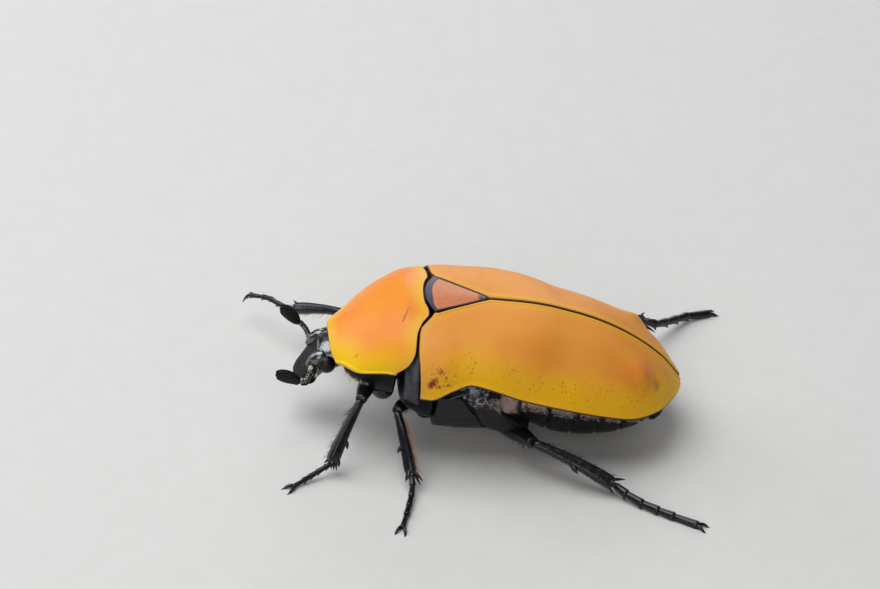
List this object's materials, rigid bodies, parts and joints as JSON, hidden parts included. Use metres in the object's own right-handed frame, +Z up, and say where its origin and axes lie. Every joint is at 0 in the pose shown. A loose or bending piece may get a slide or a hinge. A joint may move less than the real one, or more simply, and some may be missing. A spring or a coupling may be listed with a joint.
{
  "type": "orange flower beetle",
  "caption": "Life-size orange flower beetle that stands on its feet with a front foot raised: domed shield, closed wing cases, a triangular plate between them, and spiny black legs.",
  "frame": {"origin": "on the floor under the middle of the whole model, legs included", "axes": "+X is the beetle's left, +Y is its tail end, +Z is up, and the head looks towards -Y"},
  "size_m": [0.0266, 0.0342, 0.0102],
  "materials": {
    "elytron_orange": "satin to glossy hard shell, orange with a golden margin",
    "pronotum_orange": "satin to glossy hard shell, orange with a yellow margin",
    "scutellum_salmon": "satin to glossy hard shell, salmon with a dark border",
    "black_chitin": "glossy black hard shell",
    "eye_black": "very glossy black eye"
  },
  "bodies": {
    "root": {"elytron_left": "elytron_orange", "elytron_right": "elytron_orange", "pronotum": "pronotum_orange", "scutellum": "scutellum_salmon", "prothorax": "black_chitin", "mesothorax": "black_chitin", "metathorax": "black_chitin", "abdomen": "black_chitin", "pygidium": "black_chitin", "head": "black_chitin", "eye_left": "eye_black", "eye_right": "eye_black", "mouthparts": "black_chitin", "antenna_stem_left": "black_chitin", "antenna_stem_right": "black_chitin", "antenna_club_left": "black_chitin", "antenna_club_right": "black_chitin", "leg_front_left_coxa": "black_chitin", "leg_front_left_femur": "black_chitin", "leg_front_left_tibia": "black_chitin", "leg_front_left_tarsus": "black_chitin", "leg_mid_left_coxa": "black_chitin", "leg_mid_left_femur": "black_chitin", "leg_mid_left_tibia": "black_chitin", "leg_mid_left_tarsus": "black_chitin", "leg_hind_left_coxa": "black_chitin", "leg_hind_left_femur": "black_chitin", "leg_hind_left_tibia": "black_chitin", "leg_hind_left_tarsus": "black_chitin", "leg_front_right_coxa": "black_chitin", "leg_front_right_femur": "black_chitin", "leg_front_right_tibia": "black_chitin", "leg_front_right_tarsus": "black_chitin", "leg_mid_right_coxa": "black_chitin", "leg_mid_right_femur": "black_chitin", "leg_mid_right_tibia": "black_chitin", "leg_mid_right_tarsus": "black_chitin", "leg_hind_right_coxa": "black_chitin", "leg_hind_right_femur": "black_chitin", "leg_hind_right_tibia": "black_chitin", "leg_hind_right_tarsus": "black_chitin"}
  },
  "joints": []
}
